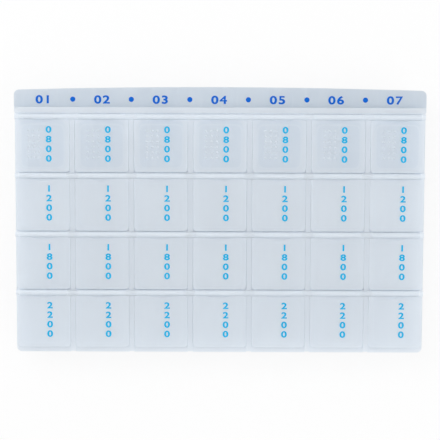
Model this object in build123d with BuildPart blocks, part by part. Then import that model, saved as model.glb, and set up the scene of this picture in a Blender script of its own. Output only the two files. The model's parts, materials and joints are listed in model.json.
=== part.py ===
"""Weekly pill organizer: a tray of wells with a header shelf, and a snap-in hinged lid on each well.

Millimetres. X runs along the week, +Y points to the header, +Z is up, and the wells stand on z = 0.
"""

import os

from build123d import *

# The week: one column of wells for each day, one row for each dose
days = ("sunday", "monday", "tuesday", "wednesday", "thursday", "friday", "saturday")
doses = ("morning", "noon", "evening", "bedtime")

# Lid: a flat plate with a plug skirt that enters the mouth of the well
lid_width = 29.0
lid_reach = 29.95
lid_thickness = 1.2
lid_rest_gap = 0.15
lid_front_gap = 0.25
lid_side_gap = 0.2
lid_corner = 2.0
lid_edge_round = 0.25
plug_wall = 1.0
plug_depth = 2.5
plug_clearance = 0.3
plug_lead = 0.35
nail_width = 17.0
nail_reach = 3.2
nail_depth = 0.45

# Snap hinge: an open barrel on the lid, clipped over a round bar that runs between knuckles on the tray
hinge_height = 1.0
bar_radius = 0.8
bar_clearance = 0.15
barrel_radius = 1.6
barrel_clearance = 0.3
barrel_inset = 1.6
barrel_end_gap = 0.15
barrel_slot = 1.3
knuckle_gap = 0.2

# Web, the flat sheet that joins the mouths of the wells
web_top = 24.0
web_thickness = 2.0
web_corner = 2.7
rear_margin = 4.95
front_margin = 2.7
side_margin = 0.4
skirt_height = 5.0
skirt_wall = 1.4

# Wells: tapered from the mouth down to the floor, with rounded corners and floor edges
side_ledge = 1.8
rear_ledge = 3.2
front_ledge = 1.35
well_taper = 2.8
well_wall = 1.2
floor_thickness = 1.4
well_round = 2.6

# Header shelf behind the wells, lower than the lids, with a bowed rear edge
header_overhang = 0.7
header_depth = 10.9
header_drop = 2.2
header_thickness = 1.6
header_bow = 1.7
header_corner = 2.7
header_lip = 3.4
header_lip_wall = 1.3
header_lap = 2.6

# Rear rail, divider ribs and the notches in the front rim
rail_gap = 0.2
rail_height = 1.35
rib_width = 2.4
rib_height = 1.35
notch_width = 2.6
notch_depth = 0.6

# Places that follow from the sizes above
row_count = len(doses)
column_count = len(days)
column_pitch = lid_width + 2 * lid_side_gap + rib_width
row_pitch = lid_reach + lid_front_gap + barrel_radius
web_width = (column_count - 1) * column_pitch + lid_width + 2 * side_margin
web_depth = rear_margin + (row_count - 1) * row_pitch + lid_reach + front_margin
header_width = web_width + 2 * header_overhang
header_top = web_top - header_drop
rear_face = (header_depth + web_depth) / 2 - header_depth
front_face = rear_face - web_depth
web_middle = (rear_face + front_face) / 2
hinge_z = web_top + hinge_height
column_x = [(index - (column_count - 1) / 2) * column_pitch for index in range(column_count)]
rib_x = [x + column_pitch / 2 for x in column_x[:-1]]
axis_y = [rear_face - rear_margin - index * row_pitch for index in range(row_count)]
hinge_places = [(x, y, hinge_z) for y in axis_y for x in column_x]
well_width = lid_width - 2 * side_ledge
well_depth = lid_reach - rear_ledge - front_ledge
well_middle = rear_ledge + well_depth / 2
well_places = [(x, y - well_middle) for y in axis_y for x in column_x]
well_slope = well_taper / (web_top - floor_thickness)
plug_inset = plug_clearance + (plug_depth - lid_rest_gap) * well_slope
plug_width = well_width - 2 * plug_inset
plug_length = well_depth - 2 * plug_inset
rail_depth = rear_margin - barrel_radius - rail_gap
barrel_length = lid_width - 2 * barrel_inset
barrel_bore = bar_radius + bar_clearance
trough_radius = barrel_radius + barrel_clearance
trough_length = barrel_length + 2 * barrel_end_gap
over = 1.0


def well_block(top, bottom, wall):
    """Tapered block of one well, its mouth on the web's top grown by the wall, its edges rounded."""
    upper = wall + (top - web_top) * well_slope
    lower = wall + (bottom - web_top) * well_slope
    wide = [well_width / 2 + grow for grow in (upper, lower)]
    deep = [well_depth / 2 + grow for grow in (upper, lower)]
    with BuildPart() as block:
        with BuildSketch(Plane.XZ):
            Polygon((-wide[0], top), (-wide[1], bottom), (wide[1], bottom), (wide[0], top), align=None)
        extrude(amount=deep[0], both=True)
        with BuildSketch(Plane.YZ):
            Polygon((-deep[0], top), (-deep[1], bottom), (deep[1], bottom), (deep[0], top), align=None)
        extrude(amount=wide[0], both=True, mode=Mode.INTERSECT)
        foot_edges, side_edges = block.edges().group_by(Axis.Z)[:2]
        fillet(foot_edges + side_edges, well_round + wall)
    return block.part


def shelf_outline(inset, front):
    """Header outline: straight front and ends, bowed rear edge with rounded corners."""
    half = header_width / 2 - inset
    rear = rear_face + header_depth - inset
    with BuildSketch() as outline:
        with BuildLine():
            Polyline((-half, rear - header_bow), (-half, front), (half, front), (half, rear - header_bow))
            ThreePointArc((half, rear - header_bow), (0, rear), (-half, rear - header_bow))
        make_face()
        fillet(outline.vertices().group_by(Axis.Y)[-1], header_corner - inset)
    return outline.sketch


# Tray: web, skirt, header, wells, rail, ribs and hinge knuckles in one moulding
with BuildPart() as tray:
    with BuildSketch(Plane.XY.offset(web_top)):
        with Locations((0, web_middle)):
            RectangleRounded(web_width, web_depth, web_corner)
    extrude(amount=-skirt_height)
    with BuildSketch(Plane.XY.offset(web_top - web_thickness)):
        with Locations((0, web_middle)):
            RectangleRounded(web_width - 2 * skirt_wall, web_depth - 2 * skirt_wall, web_corner - skirt_wall)
    extrude(amount=-skirt_height, mode=Mode.SUBTRACT)

    # Header shelf, with a lip turned down along its rear edge and ends
    with BuildSketch(Plane.XY.offset(header_top)):
        add(shelf_outline(0, rear_face - header_lap))
        with Locations((0, web_middle)):
            Rectangle(web_width - 2 * skirt_wall, web_depth - 2 * skirt_wall, mode=Mode.SUBTRACT)
    extrude(amount=-header_lip)
    with BuildSketch(Plane.XY.offset(header_top - header_thickness)):
        add(shelf_outline(header_lip_wall, rear_face))
    extrude(amount=-header_lip, mode=Mode.SUBTRACT)

    # Wells
    with Locations(*well_places):
        add(well_block(web_top, 0, well_wall))
    with Locations(*well_places):
        add(well_block(web_top + over, floor_thickness, 0), mode=Mode.SUBTRACT)

    # Rear rail behind the first row of lids
    with BuildSketch(Plane.XY.offset(web_top)):
        with Locations((0, web_middle)):
            RectangleRounded(web_width, web_depth, web_corner)
        with Locations((0, rear_face - rail_depth)):
            Rectangle(web_width, web_depth, align=(Align.CENTER, Align.MAX), mode=Mode.SUBTRACT)
    extrude(amount=rail_height)

    # Divider ribs between the columns of lids
    with BuildSketch(Plane.XY.offset(web_top)):
        with Locations(*[(x, axis_y[0]) for x in rib_x]):
            Rectangle(rib_width, axis_y[0] - front_face - notch_depth, align=(Align.CENTER, Align.MAX))
    extrude(amount=rib_height)
    with BuildSketch(Plane.XY.offset(web_top)):
        with Locations(*[(x, front_face) for x in rib_x]):
            Rectangle(notch_width, 2 * notch_depth)
    extrude(amount=-skirt_height, both=True, mode=Mode.SUBTRACT)

    # Half-round knuckles along each hinge line, cleared for the barrels down to the bar
    with BuildSketch(Plane.XY.offset(web_top)):
        with Locations(*[(0, y) for y in axis_y]):
            Rectangle(web_width, 2 * barrel_radius)
    extrude(amount=hinge_height)
    with Locations(*[(0, y, hinge_z) for y in axis_y]):
        Cylinder(barrel_radius, web_width, rotation=(0, 90, 0))
    with Locations(*hinge_places):
        Cylinder(trough_radius, trough_length, rotation=(0, 90, 0), mode=Mode.SUBTRACT)
    with Locations(*[(0, y, hinge_z) for y in axis_y]):
        Cylinder(bar_radius, web_width, rotation=(0, 90, 0))

# Lid, with the hinge axis along X through the origin
plate_bottom = lid_rest_gap - hinge_height
with BuildPart() as lid:
    with BuildSketch(Plane.XY.offset(plate_bottom)) as plate:
        Rectangle(lid_width, lid_reach, align=(Align.CENTER, Align.MAX))
        fillet(plate.vertices().group_by(Axis.Y)[0], lid_corner)
    extrude(amount=lid_thickness)
    top_edges = lid.faces().sort_by(Axis.Z)[-1].edges()
    fillet([edge for edge in top_edges if edge.center().Y < 0], lid_edge_round)

    # Nail recess in front of the barrel
    with BuildSketch(Plane.XY.offset(plate_bottom + lid_thickness)):
        with BuildLine():
            ThreePointArc((-nail_width / 2, -bar_radius), (0, -nail_reach), (nail_width / 2, -bar_radius))
            Line((nail_width / 2, -bar_radius), (-nail_width / 2, -bar_radius))
        make_face()
    extrude(amount=-nail_depth, mode=Mode.SUBTRACT)

    # Room for the knuckles at the rear corners, and the barrel, open below to snap over the bar
    knuckle_room = barrel_radius + knuckle_gap
    with Locations((-lid_width / 2, 0), (lid_width / 2, 0)):
        Box(2 * barrel_inset, 2 * knuckle_room, 4 * barrel_radius, mode=Mode.SUBTRACT)
    Cylinder(barrel_radius, barrel_length, rotation=(0, 90, 0))
    Cylinder(barrel_bore, barrel_length, rotation=(0, 90, 0), mode=Mode.SUBTRACT)
    with Locations((0, 0, -barrel_radius)):
        Box(barrel_length, barrel_slot, 2 * barrel_radius, mode=Mode.SUBTRACT)

    # Plug skirt
    with BuildSketch(Plane.XY.offset(plate_bottom)):
        with Locations((0, -well_middle)):
            RectangleRounded(plug_width, plug_length, well_round)
            RectangleRounded(
                plug_width - 2 * plug_wall,
                plug_length - 2 * plug_wall,
                well_round - plug_wall,
                mode=Mode.SUBTRACT,
            )
    extrude(amount=-plug_depth)
    plug_outline = lid.faces().sort_by(Axis.Z)[0].outer_wire().edges()
    chamfer(plug_outline, plug_lead)

os.makedirs("parts", exist_ok=True)
tray.part.label = "tray"
export_step(tray.part, "parts/tray.step")
for (x, y, z), name in zip(hinge_places, [f"lid_{day}_{dose}" for dose in doses for day in days]):
    with BuildPart() as placed_lid:
        with Locations((x, y, z)):
            add(lid.part)
    placed_lid.part.label = name
    export_step(placed_lid.part, f"parts/{name}.step")
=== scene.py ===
"""Weekly pill organizer: frosted finishes with painted light and shade in their tints, printed
numbers and raised dots on the tray and lids.
"""
import json
import math

import bmesh
import bpy
from mathutils import Matrix, Vector


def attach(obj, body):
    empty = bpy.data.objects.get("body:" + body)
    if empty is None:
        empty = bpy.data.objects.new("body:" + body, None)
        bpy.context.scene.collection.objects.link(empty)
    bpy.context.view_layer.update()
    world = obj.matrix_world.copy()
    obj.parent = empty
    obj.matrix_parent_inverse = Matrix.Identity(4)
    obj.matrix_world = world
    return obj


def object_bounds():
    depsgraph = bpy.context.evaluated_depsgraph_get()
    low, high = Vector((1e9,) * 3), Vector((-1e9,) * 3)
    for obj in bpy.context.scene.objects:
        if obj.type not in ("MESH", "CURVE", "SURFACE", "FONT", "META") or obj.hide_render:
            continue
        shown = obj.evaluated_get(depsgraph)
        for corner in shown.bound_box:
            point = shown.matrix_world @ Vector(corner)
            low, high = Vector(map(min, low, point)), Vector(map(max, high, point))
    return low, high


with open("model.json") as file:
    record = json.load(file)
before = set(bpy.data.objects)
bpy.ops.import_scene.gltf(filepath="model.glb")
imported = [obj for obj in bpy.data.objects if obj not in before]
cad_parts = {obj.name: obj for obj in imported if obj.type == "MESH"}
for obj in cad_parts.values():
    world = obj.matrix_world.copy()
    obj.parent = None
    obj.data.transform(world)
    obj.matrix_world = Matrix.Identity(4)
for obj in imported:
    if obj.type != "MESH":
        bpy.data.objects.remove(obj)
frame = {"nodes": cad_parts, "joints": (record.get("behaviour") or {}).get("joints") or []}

cad_low, cad_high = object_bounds()
MM = 0.001

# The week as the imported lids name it, and the hinges that the places below follow
DAYS = ("sunday", "monday", "tuesday", "wednesday", "thursday", "friday", "saturday")
DOSES = ("morning", "noon", "evening", "bedtime")
hinge_at = {joint["child"]: Vector(joint["pos_m"]) for joint in frame["joints"]}
FIRST_HINGE = hinge_at[f"lid_{DAYS[0]}_{DOSES[0]}"]
PITCH = hinge_at[f"lid_{DAYS[1]}_{DOSES[0]}"].x - FIRST_HINGE.x

# Colours, linear
# Lid tints: painted light and shade of the web, the well and the plug seen through the lid
LID_RIM_PAINTED_SHADING = (0.815, 0.872, 0.93, 1)
LID_PANEL_PAINTED_SHADING = (0.825, 0.882, 0.942, 1)
LID_PANEL_FIRST_ROW_PAINTED_SHADE = (0.755, 0.828, 0.908, 1)
LID_RING_PAINTED_LIGHT = (0.85, 0.91, 0.97, 1)
TRAY_WEB = (0.81, 0.87, 0.932, 1)
# Rail and shelf tints: darker, as painted shade seen through the thin plastic
TRAY_RAIL_PAINTED_SHADE = (0.72, 0.775, 0.83, 1)
TRAY_SHELF_PAINTED_SHADE = (0.60, 0.675, 0.755, 1)
FROST_WITHIN = (0.965, 0.98, 0.998, 1)
FLOW_PALE = (0.90, 0.955, 1.0, 1)
# Dots and mould marks: darker tint, painted shade in place of light through the lid
DOT_PAINTED_SHADE = (0.665, 0.725, 0.795, 1)
HEADER_INK = (0.0, 0.13, 0.62, 1)
LID_INK = (0.0, 0.45, 0.79, 1)
PAPER = (0.97, 0.97, 0.97, 1)
WHITE = (1, 1, 1, 1)

# Painted shading on the lids: a panel over the well and a ring over the plug, measured from the
# hinge
WELL_MIDDLE = 15.9 * MM
BARREL_ROOM = 2.0 * MM
PANEL_MIDDLE = 15.0 * MM
PANEL_HALF_WIDTH = 12.2 * MM
PANEL_HALF_DEPTH = 13.0 * MM
PANEL_SQUARENESS = 9
PANEL_EDGE = (0.55, 1.35)
RING_HALF = 11.7 * MM
RING_SQUARENESS = 8
RING_EDGE = (0.015, 0.055)
RING_SHARE = 0.7
FIRST_ROW_FRONT = FIRST_HINGE.y - 30.1 * MM
ROW_EASE = 2.0 * MM

# Painted shade on the tray: where the rear rail and the header shelf begin
RAIL_FRONT = FIRST_HINGE.y + 1.6 * MM
SHELF_FRONT = FIRST_HINGE.y + 4.95 * MM
TINT_EASE = 0.2 * MM

# Light that the plastic lets through, as a share: sheets, well walls and the thin edges above
LIGHT_THROUGH = 0.45
RIM_LIGHT_THROUGH = 0.43
RIM_SHARE = 0.6
WALL_LIGHT_THROUGH = 0.5
EDGE_LIGHT_THROUGH = 0.92
FLATNESS = (0.3, 0.75)
WALL_TOP = 21.5 * MM
WALL_EASE = 1.0 * MM

# Noise in the plastic and the ink: scale per metre, detail and roughness
GRAIN = (2600, 2.0, 0.6)
WAVE = (110, 1.0, 0.4)
CLOUD = (60, 3.0, 0.55)
STREAK = (420, 2.0, 0.5)
SPECKLE = (1500, 2.0, 0.6)
CLOUD_SPAN = (0.3, 0.7)
STREAK_SPAN = (0.5, 0.75)
STREAK_STRETCH = (1.0, 0.12, 1.0)
LID_FLOW = 0.22
TRAY_FLOW = 0.12
DOT_FLOW = 0.08

# Surface of the plastic and of the ink
WAVE_RELIEF = 0.8
GRAIN_RELIEF = 0.05
RELIEF_STRENGTH = 0.35
RELIEF_HEIGHT = 0.3 * MM
FROST_ROUGHNESS = 0.26
FROST_ROUGHNESS_SPREAD = 0.12
PLASTIC_IOR = 1.49
INK_ROUGHNESS = 0.5
INK_ROUGHNESS_SPREAD = 0.2
INK_SPECULAR = 0.06
INK_THINNING = 0.015

# Print on the header and the lids
HEADER_DIGIT_HEIGHT = 4.9 * MM
HEADER_PRINT_SETBACK = 6.7 * MM
HEADER_PRINT_PITCH = 31.5 * MM
HEADER_PRINT_SHIFT = -0.6 * MM
HEADER_TOP = 21.8 * MM
HEADER_DOT_RADIUS = 1.4 * MM
HEADER_DOT_SIDES = 40
HEADER_DOT_EASE = 0.08
LID_DIGIT_HEIGHT = 3.9 * MM
LID_DIGIT_PITCH = 5.2 * MM
LID_PRINT_SHIFT = 3.3 * MM
LID_TOP_OVER_HINGE = 0.35 * MM
LID_STACK_MIDDLE = 14.7 * MM
INK_THICKNESS = 0.03 * MM
INK_SPREAD = 0.06
INK_BREADTH = 1.3
FIGURE_SHARE = 0.73
FIGURE_SPACING = 1.2
FIGURE_MERGE = 0.002
DOSE_HOURS = ("0800", "1200", "1800", "2200")

# Raised dots on the lids of the first row
TACTILE_RADIUS = 0.55 * MM
TACTILE_HEIGHT = 0.13 * MM
TACTILE_PITCH = 2.9 * MM
TACTILE_COLUMNS = 3
TACTILE_ROWS = 6
TACTILE_SHIFT = -4.6 * MM
TACTILE_SEGMENTS = 12
TACTILE_RINGS = 20
BISECT_REACH = 0.0005 * MM

# Round marks the mould leaves: on the floors of the wells and under the web
FLOOR_MARK_RADIUS = 1.6 * MM
FLOOR_MARK_HEIGHT = 0.12 * MM
FLOOR_LEVEL = 1.4 * MM
PIN_MARK_RADIUS = 1.4 * MM
PIN_MARK_HEIGHT = 0.15 * MM
WEB_UNDERSIDE = 22.0 * MM
MARK_SIDES = 28
MARK_RIM = 0.14
MARK_SLOPE = 0.10
MARK_DISH = 0.6
POINTS_UP = 0.9
SMOOTH_ANGLE = math.radians(40)

# View of the photograph
IMAGE_PIXELS = 440
PIXELS_PER_METRE = 1851
CAMERA_DISTANCE = 0.80
CAMERA_TILT = math.radians(5.8)
CAMERA_ROLL = math.radians(0.2)
AIM = Vector((0.0001, 0.0005, 0.025))
SENSOR = 36

# Studio: each lamp has a name, a place, a breadth and a power
LAMPS = (
    ("key", (-0.35, 0.45, 0.95), 0.7, 3.7),
    ("fill", (0.6, -0.3, 0.8), 0.9, 1.6),
)
WORLD_LIGHT = 0.66
FLOOR_SIZE = 6
FLOOR_DROP = 0.1 * MM
FLOOR_GLOW = 0.85


class Value:
    """A shader socket that takes part in arithmetic; each operator adds one Math node."""

    def __init__(self, board, socket):
        self.board = board
        self.socket = socket

    def math(self, operation, first, second):
        return self.board.node("ShaderNodeMath", {"operation": operation}, {0: first, 1: second})

    def __add__(self, other):
        return self.math("ADD", self, other)

    def __radd__(self, other):
        return self.math("ADD", other, self)

    def __sub__(self, other):
        return self.math("SUBTRACT", self, other)

    def __rsub__(self, other):
        return self.math("SUBTRACT", other, self)

    def __mul__(self, other):
        return self.math("MULTIPLY", self, other)

    def __rmul__(self, other):
        return self.math("MULTIPLY", other, self)

    def __truediv__(self, other):
        return self.math("DIVIDE", self, other)

    def __pow__(self, other):
        return self.math("POWER", self, other)

    def __abs__(self):
        return self.math("ABSOLUTE", self, 0.0)

    def wrapped(self, low, high):
        """The value carried back into the span from low to high, as a pattern that repeats."""
        return self.board.node("ShaderNodeMath", {"operation": "WRAP"}, {0: self, 1: high, 2: low})

    def ramp(self, low, high):
        """0 below low, 1 above high, eased between."""
        sockets = {"Value": self, "From Min": low, "From Max": high}
        return self.board.node("ShaderNodeMapRange", {"interpolation_type": "SMOOTHSTEP"}, sockets)

    def beside(self, output):
        """Another output of the node that gives this value."""
        return Value(self.board, self.socket.node.outputs[output])


class Board:
    """The node tree of one material or of the world."""

    def __init__(self, owner):
        owner.use_nodes = True
        self.tree = owner.node_tree
        self.tree.nodes.clear()

    def node(self, kind, settings=None, sockets=None, output=0):
        made = self.tree.nodes.new(kind)
        for name, setting in (settings or {}).items():
            setattr(made, name, setting)
        for key, value in (sockets or {}).items():
            if isinstance(value, Value):
                self.tree.links.new(value.socket, made.inputs[key])
            else:
                made.inputs[key].default_value = value
        if made.outputs:
            return Value(self, made.outputs[output])
        return None

    def coordinate(self, kind):
        return self.node("ShaderNodeTexCoord", output=kind)

    def noise(self, place, scale, detail, roughness):
        sockets = {"Vector": place, "Scale": scale, "Detail": detail, "Roughness": roughness}
        return self.node("ShaderNodeTexNoise", None, sockets)

    def blend(self, share, first, second):
        settings = {"data_type": "RGBA"}
        return self.node("ShaderNodeMix", settings, {0: share, 6: first, 7: second}, output=2)

    def finish(self, shader):
        self.node("ShaderNodeOutputMaterial", None, {"Surface": shader})


def frosted(board, place, tint, through=None):
    """Milky moulded plastic of a given tint: matte grain, slight waves, light coming through."""
    grain = board.noise(place, *GRAIN)
    wave = board.noise(place, *WAVE)
    normal = board.node("ShaderNodeBump", None, {
        "Strength": RELIEF_STRENGTH,
        "Distance": RELIEF_HEIGHT,
        "Height": wave * WAVE_RELIEF + grain * GRAIN_RELIEF,
    })
    shader = board.node("ShaderNodeBsdfPrincipled", None, {
        "Base Color": tint,
        "Roughness": FROST_ROUGHNESS + grain * FROST_ROUGHNESS_SPREAD,
        "IOR": PLASTIC_IOR,
        "Normal": normal,
    })
    if through is not None:
        facing = board.coordinate("Normal")
        upward = board.node("ShaderNodeSeparateXYZ", None, {0: facing}, output="Z")
        side = 1 - abs(upward).ramp(*FLATNESS)
        level = board.node("ShaderNodeSeparateXYZ", None, {0: place}, output="Z")
        high = level.ramp(WALL_TOP - WALL_EASE, WALL_TOP)
        side_share = WALL_LIGHT_THROUGH + high * (EDGE_LIGHT_THROUGH - WALL_LIGHT_THROUGH)
        share = through + side * (side_share - through)
        within = board.node("ShaderNodeBsdfTranslucent", None, {"Color": FROST_WITHIN})
        shader = board.node("ShaderNodeMixShader", None, {0: share, 1: shader, 2: within})
    board.finish(shader)


def clouded(board, place, tint, share):
    """A tint with slow clouds and faint drawn-out streaks, as flow in the mould leaves them."""
    cloud = board.noise(place, *CLOUD)
    drawn = board.node("ShaderNodeMapping", None, {"Vector": place, "Scale": STREAK_STRETCH})
    streak = board.noise(drawn, *STREAK)
    paler = cloud.ramp(*CLOUD_SPAN) * share + streak.ramp(*STREAK_SPAN) * share
    return board.blend(paler, tint, FLOW_PALE)


def painted_shading_lid_material(name):
    """Lid: tints that paint the light and shade seen through it: one on the web, one over the well,
    deeper in the first row, and a paler ring over the plug.
    """
    material = bpy.data.materials.new(name)
    board = Board(material)
    place = board.coordinate("Object")
    apart = board.node("ShaderNodeSeparateXYZ", None, {0: place}, output="X")
    across = apart.wrapped(-PITCH / 2, PITCH / 2)
    along = FIRST_HINGE.y - apart.beside("Y")
    along = (along + BARREL_ROOM).wrapped(0.0, PITCH) - BARREL_ROOM

    wide = abs(across / PANEL_HALF_WIDTH) ** PANEL_SQUARENESS
    deep = abs((along - PANEL_MIDDLE) / PANEL_HALF_DEPTH) ** PANEL_SQUARENESS
    # Tints of panel and rim, deeper in the first row: painted shading of what lies under the lid
    rim = (wide + deep).ramp(*PANEL_EDGE)
    first_row_painted_shade = apart.beside("Y").ramp(FIRST_ROW_FRONT - ROW_EASE, FIRST_ROW_FRONT)
    tint = board.blend(rim, board.blend(first_row_painted_shade, LID_PANEL_PAINTED_SHADING, LID_PANEL_FIRST_ROW_PAINTED_SHADE), LID_RIM_PAINTED_SHADING)

    # A paler ring over the plug: painted light
    wide = abs(across / RING_HALF) ** RING_SQUARENESS
    deep = abs((along - WELL_MIDDLE) / RING_HALF) ** RING_SQUARENESS
    ring = 1 - abs((wide + deep) ** (1 / RING_SQUARENESS) - 1).ramp(*RING_EDGE)
    tint = board.blend(ring * RING_SHARE, tint, LID_RING_PAINTED_LIGHT)

    through = LIGHT_THROUGH - (rim * RIM_SHARE + ring) * (LIGHT_THROUGH - RIM_LIGHT_THROUGH)
    frosted(board, place, clouded(board, place, tint, LID_FLOW), through)
    return material


def painted_shade_tray_material(name):
    """Tray: milky web, ribs and wells, with painted shade deeper on the rear rail and on the sheet
    of the header.
    """
    material = bpy.data.materials.new(name)
    board = Board(material)
    place = board.coordinate("Object")
    behind = board.node("ShaderNodeSeparateXYZ", None, {0: place}, output="Y")
    # Darker rail and header sheet: painted shade
    tint = board.blend(behind.ramp(RAIL_FRONT, RAIL_FRONT + TINT_EASE), TRAY_WEB, TRAY_RAIL_PAINTED_SHADE)
    tint = board.blend(behind.ramp(SHELF_FRONT, SHELF_FRONT + TINT_EASE), tint, TRAY_SHELF_PAINTED_SHADE)
    frosted(board, place, clouded(board, place, tint, TRAY_FLOW), RIM_LIGHT_THROUGH)
    return material


def painted_shade_dot_material(name):
    """Dots and mould marks: the same plastic, with no light through where it lies on a sheet, and a
    darker tint as painted shade.
    """
    material = bpy.data.materials.new(name)
    board = Board(material)
    place = board.coordinate("Object")
    frosted(board, place, clouded(board, place, DOT_PAINTED_SHADE, DOT_FLOW))
    return material


def printed_ink(name, colour):
    """Pad-printed ink: thin spots where the plate took less ink, low gloss."""
    material = bpy.data.materials.new(name)
    board = Board(material)
    speckle = board.noise(board.coordinate("Object"), *SPECKLE)
    thin = tuple(channel + (1 - channel) * INK_THINNING for channel in colour)
    shader = board.node("ShaderNodeBsdfPrincipled", None, {
        "Base Color": board.blend(speckle, colour, thin),
        "Roughness": INK_ROUGHNESS + speckle * INK_ROUGHNESS_SPREAD,
        "Specular IOR Level": INK_SPECULAR,
    })
    board.finish(shader)
    return material


def seen_plainly(board):
    """At least 1 on rays that show the background: to the camera, mirrored or passed through."""
    rays = board.node("ShaderNodeLightPath", output="Is Camera Ray")
    return rays + rays.beside("Is Glossy Ray") + rays.beside("Is Transmission Ray")


def paper_floor(name):
    """White sweep: plain to the camera, and still holding part of the shadow under the tray."""
    material = bpy.data.materials.new(name)
    board = Board(material)
    paper = board.node("ShaderNodeBsdfDiffuse", None, {"Color": PAPER})
    glow = board.node("ShaderNodeEmission", None, {"Color": WHITE, "Strength": 1.0})
    sockets = {0: seen_plainly(board) * FLOOR_GLOW, 1: paper, 2: glow}
    board.finish(board.node("ShaderNodeMixShader", None, sockets))
    return material


def select_only(pieces):
    """Object mode with these pieces selected, the first of them active."""
    if bpy.context.object and bpy.context.object.mode != "OBJECT":
        bpy.ops.object.mode_set(mode="OBJECT")
    bpy.ops.object.select_all(action="DESELECT")
    for piece in pieces:
        piece.select_set(True)
    if pieces:
        bpy.context.view_layer.objects.active = pieces[0]


def settle(piece):
    """Puts the place of a piece into its mesh, with its object at the origin."""
    select_only([piece])
    bpy.ops.object.transform_apply(location=True, rotation=True, scale=True)
    return piece


def join(pieces, name):
    """One mesh from several, each with its place already in its mesh."""
    select_only(pieces)
    bpy.ops.object.join()
    pieces[0].name = name
    return pieces[0]


def digit(text, height, place):
    """A bold figure of ink, its middle at place, made a mesh before its place is applied."""
    select_only([])
    bpy.ops.object.text_add()
    figure = bpy.context.object
    figure.data.body = text
    figure.data.align_x = "CENTER"
    figure.data.size = height * (1 - 2 * INK_SPREAD) / FIGURE_SHARE
    figure.data.extrude = height / 2
    figure.data.space_character = FIGURE_SPACING
    bpy.ops.object.convert(target="MESH")
    bpy.ops.object.mode_set(mode="EDIT")
    bpy.ops.mesh.select_all(action="SELECT")
    bpy.ops.mesh.remove_doubles(threshold=height * FIGURE_MERGE)
    bpy.ops.transform.shrink_fatten(value=height * INK_SPREAD)
    bpy.ops.object.mode_set(mode="OBJECT")
    figure.scale = (INK_BREADTH, 1, INK_THICKNESS / height)
    figure.location = Vector(place) + Vector((0, -height * (0.5 - INK_SPREAD), INK_THICKNESS / 2))
    return settle(figure)


def edit_top_of_disc(sides, radius, height):
    """A round disc standing on z = 0, left in edit mode with only its top selected."""
    select_only([])
    bpy.ops.mesh.primitive_cylinder_add(
        vertices=sides, radius=radius, depth=height, location=(0, 0, height / 2)
    )
    disc = settle(bpy.context.object)
    bpy.ops.object.mode_set(mode="EDIT")
    bpy.ops.mesh.select_all(action="DESELECT")
    mesh = bmesh.from_edit_mesh(disc.data)
    for face in mesh.faces:
        face.select_set(face.normal.z > POINTS_UP)
    bmesh.update_edit_mesh(disc.data)
    return disc


def ink_spot(radius):
    """A round printed spot with an eased rim, standing on z = 0."""
    spot = edit_top_of_disc(HEADER_DOT_SIDES, radius, INK_THICKNESS / 2)
    bpy.ops.mesh.inset(thickness=radius * HEADER_DOT_EASE)
    bpy.ops.transform.translate(value=(0, 0, INK_THICKNESS / 2))
    bpy.ops.object.mode_set(mode="OBJECT")
    return spot


def moulded_mark(radius, height):
    """A shallow dished disc with a flat rim, standing on z = 0."""
    mark = edit_top_of_disc(MARK_SIDES, radius, height)
    bpy.ops.mesh.inset(thickness=radius * MARK_RIM)
    bpy.ops.mesh.inset(thickness=radius * MARK_SLOPE)
    bpy.ops.transform.translate(value=(0, 0, -height * MARK_DISH))
    bpy.ops.object.mode_set(mode="OBJECT")
    return mark


def raised_dot():
    """A low moulded dome: the cap of a ball, standing on z = 0."""
    ball = (TACTILE_RADIUS**2 + TACTILE_HEIGHT**2) / (2 * TACTILE_HEIGHT)
    select_only([])
    bpy.ops.mesh.primitive_uv_sphere_add(
        segments=TACTILE_SEGMENTS, ring_count=TACTILE_RINGS, radius=ball
    )
    dome = bpy.context.object
    bpy.ops.object.mode_set(mode="EDIT")
    bpy.ops.mesh.select_all(action="SELECT")
    bpy.ops.mesh.bisect(
        plane_co=(0, 0, ball - TACTILE_HEIGHT),
        plane_no=(0, 0, 1),
        clear_inner=True,
        use_fill=True,
        threshold=BISECT_REACH,
    )
    bpy.ops.object.mode_set(mode="OBJECT")
    dome.location = (0, 0, TACTILE_HEIGHT - ball)
    return settle(dome)


def placed_copy(model, place, name):
    """A copy of a piece modelled at the origin, with its own mesh and its place in it."""
    piece = model.copy()
    piece.data = model.data.copy()
    piece.name = name
    piece.location = place
    bpy.context.scene.collection.objects.link(piece)
    return settle(piece)


def copies(model, places, name):
    """One mesh of copies of a small piece modelled at the origin, which is then removed."""
    made = [placed_copy(model, place, name) for place in places]
    bpy.data.objects.remove(model)
    return join(made, name)


def finish_piece(piece, material, body, smooth=False):
    """Material, shading and body of a new piece."""
    piece.data.materials.clear()
    piece.data.materials.append(material)
    if smooth:
        select_only([piece])
        bpy.ops.object.shade_smooth_by_angle(angle=SMOOTH_ANGLE)
    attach(piece, body)


def header_print(ink):
    """Day numbers along the header shelf, with a round spot between neighbours."""
    across = cad_high.y - HEADER_PRINT_SETBACK
    middle = (len(DAYS) - 1) / 2
    columns = []
    marks = []
    for index in range(len(DAYS)):
        x = HEADER_PRINT_SHIFT + (index - middle) * HEADER_PRINT_PITCH
        marks.append(digit(f"{index + 1:02d}", HEADER_DIGIT_HEIGHT, (x, across, HEADER_TOP)))
        columns.append(x)
    pairs = zip(columns, columns[1:])
    between = [((left + right) / 2, across, HEADER_TOP) for left, right in pairs]
    marks.append(copies(ink_spot(HEADER_DOT_RADIUS), between, "header_spots"))
    finish_piece(join(marks, "header_print"), ink, "tray")


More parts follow.
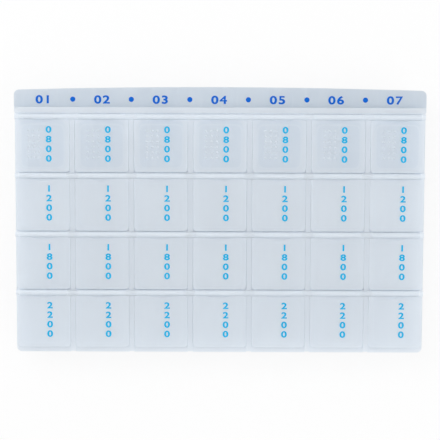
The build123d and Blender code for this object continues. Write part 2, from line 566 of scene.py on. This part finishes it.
def lid_print(hours):
    """The hour of a dose, one figure under the other, for a lid hinged at the origin."""
    first = (len(hours) - 1) / 2 * LID_DIGIT_PITCH - LID_STACK_MIDDLE
    marks = []
    for index, figure in enumerate(hours):
        place = (LID_PRINT_SHIFT, first - index * LID_DIGIT_PITCH, LID_TOP_OVER_HINGE)
        marks.append(digit(figure, LID_DIGIT_HEIGHT, place))
    return join(marks, f"hours_{hours}")


def lid_dots():
    """A field of raised dots left of the print, for a lid hinged at the origin."""
    places = []
    for column in range(TACTILE_COLUMNS):
        for row in range(TACTILE_ROWS):
            x = TACTILE_SHIFT + (column - (TACTILE_COLUMNS - 1) / 2) * TACTILE_PITCH
            y = ((TACTILE_ROWS - 1) / 2 - row) * TACTILE_PITCH - LID_STACK_MIDDLE
            places.append((x, y, LID_TOP_OVER_HINGE))
    return copies(raised_dot(), places, "dot_field")


def dress_lids(model, prefix, dose, material, smooth):
    """A copy of one row's print or dots on each lid of the row."""
    for day in DAYS:
        lid = f"lid_{day}_{dose}"
        piece = placed_copy(model, hinge_at[lid], f"{prefix}_{lid}")
        finish_piece(piece, material, lid, smooth)
    bpy.data.objects.remove(model)


def mould_marks(plastic):
    """A dished mark on each well's floor, and pin marks under the web between the wells."""
    floors = [(hinge.x, hinge.y - WELL_MIDDLE, FLOOR_LEVEL) for hinge in hinge_at.values()]
    marks = copies(moulded_mark(FLOOR_MARK_RADIUS, FLOOR_MARK_HEIGHT), floors, "floor_marks")
    finish_piece(marks, plastic, "tray", smooth=True)

    rows = [hinge_at[f"lid_{DAYS[0]}_{dose}"].y for dose in DOSES[1:]]
    columns = [hinge_at[f"lid_{day}_{DOSES[0]}"].x + PITCH / 2 for day in DAYS[:-1]]
    pins = [(x, y, WEB_UNDERSIDE) for x in columns for y in rows]
    pin = moulded_mark(PIN_MARK_RADIUS, PIN_MARK_HEIGHT)
    pin.rotation_euler = (math.pi, 0, 0)
    marks = copies(settle(pin), pins, "pin_marks")
    finish_piece(marks, plastic, "tray", smooth=True)


def lay_floor():
    """A wide white floor just under the wells."""
    select_only([])
    bpy.ops.mesh.primitive_plane_add(size=FLOOR_SIZE, location=(0, 0, -FLOOR_DROP))
    floor = bpy.context.object
    floor.name = "floor"
    floor.data.materials.append(paper_floor("white_paper"))


def light_studio():
    """Even world light, plain white where it is seen, and two soft round lamps."""
    world = bpy.data.worlds.new("studio")
    bpy.context.scene.world = world
    board = Board(world)
    strength = WORLD_LIGHT + seen_plainly(board).ramp(0, 1) * (1 - WORLD_LIGHT)
    glow = board.node("ShaderNodeBackground", None, {"Color": WHITE, "Strength": strength})
    board.node("ShaderNodeOutputWorld", None, {"Surface": glow})
    for name, place, breadth, power in LAMPS:
        light = bpy.data.lights.new(name, "AREA")
        light.shape = "DISK"
        light.size = breadth
        light.energy = power
        lamp = bpy.data.objects.new(name, light)
        lamp.location = place
        lamp.rotation_euler = (AIM - Vector(place)).to_track_quat("-Z", "Y").to_euler()
        bpy.context.scene.collection.objects.link(lamp)


def set_camera():
    """The camera of the photograph, almost straight above."""
    lens = bpy.data.cameras.new("camera")
    lens.sensor_width = SENSOR
    lens.lens = PIXELS_PER_METRE * CAMERA_DISTANCE / IMAGE_PIXELS * SENSOR
    camera = bpy.data.objects.new("camera", lens)
    back = Vector((0, math.sin(CAMERA_TILT), math.cos(CAMERA_TILT)))
    right = Vector((0, 1, 0)).cross(back).normalized()
    up = back.cross(right)
    turn = Matrix((right, up, back)).transposed() @ Matrix.Rotation(CAMERA_ROLL, 3, "Z")
    camera.matrix_world = Matrix.Translation(AIM + back * CAMERA_DISTANCE) @ turn.to_4x4()
    bpy.context.scene.collection.objects.link(camera)
    bpy.context.scene.camera = camera
    bpy.context.scene.view_settings.view_transform = "Standard"


# Plastic of the imported tray and lids, with painted light and shade in its tints
tray_painted_shade = painted_shade_tray_material("frosted_tray_with_painted_shade")
lid_painted_shading = painted_shading_lid_material("frosted_lid_with_painted_shading")
for node, thing in frame["nodes"].items():
    thing.material_slots[0].material = tray_painted_shade if node == "tray" else lid_painted_shading

# New pieces: print, dots and mould marks
header_print(printed_ink("header_ink", HEADER_INK))
lid_ink = printed_ink("lid_ink", LID_INK)
for dose, hours in zip(DOSES, DOSE_HOURS):
    dress_lids(lid_print(hours), "print", dose, lid_ink, smooth=False)
# Dots and mould marks take a darker tint: painted shade
dots_painted_shade = painted_shade_dot_material("frosted_dots_with_painted_shade")
dress_lids(lid_dots(), "dots", DOSES[0], dots_painted_shade, smooth=True)
mould_marks(dots_painted_shade)

lay_floor()
light_studio()
set_camera()
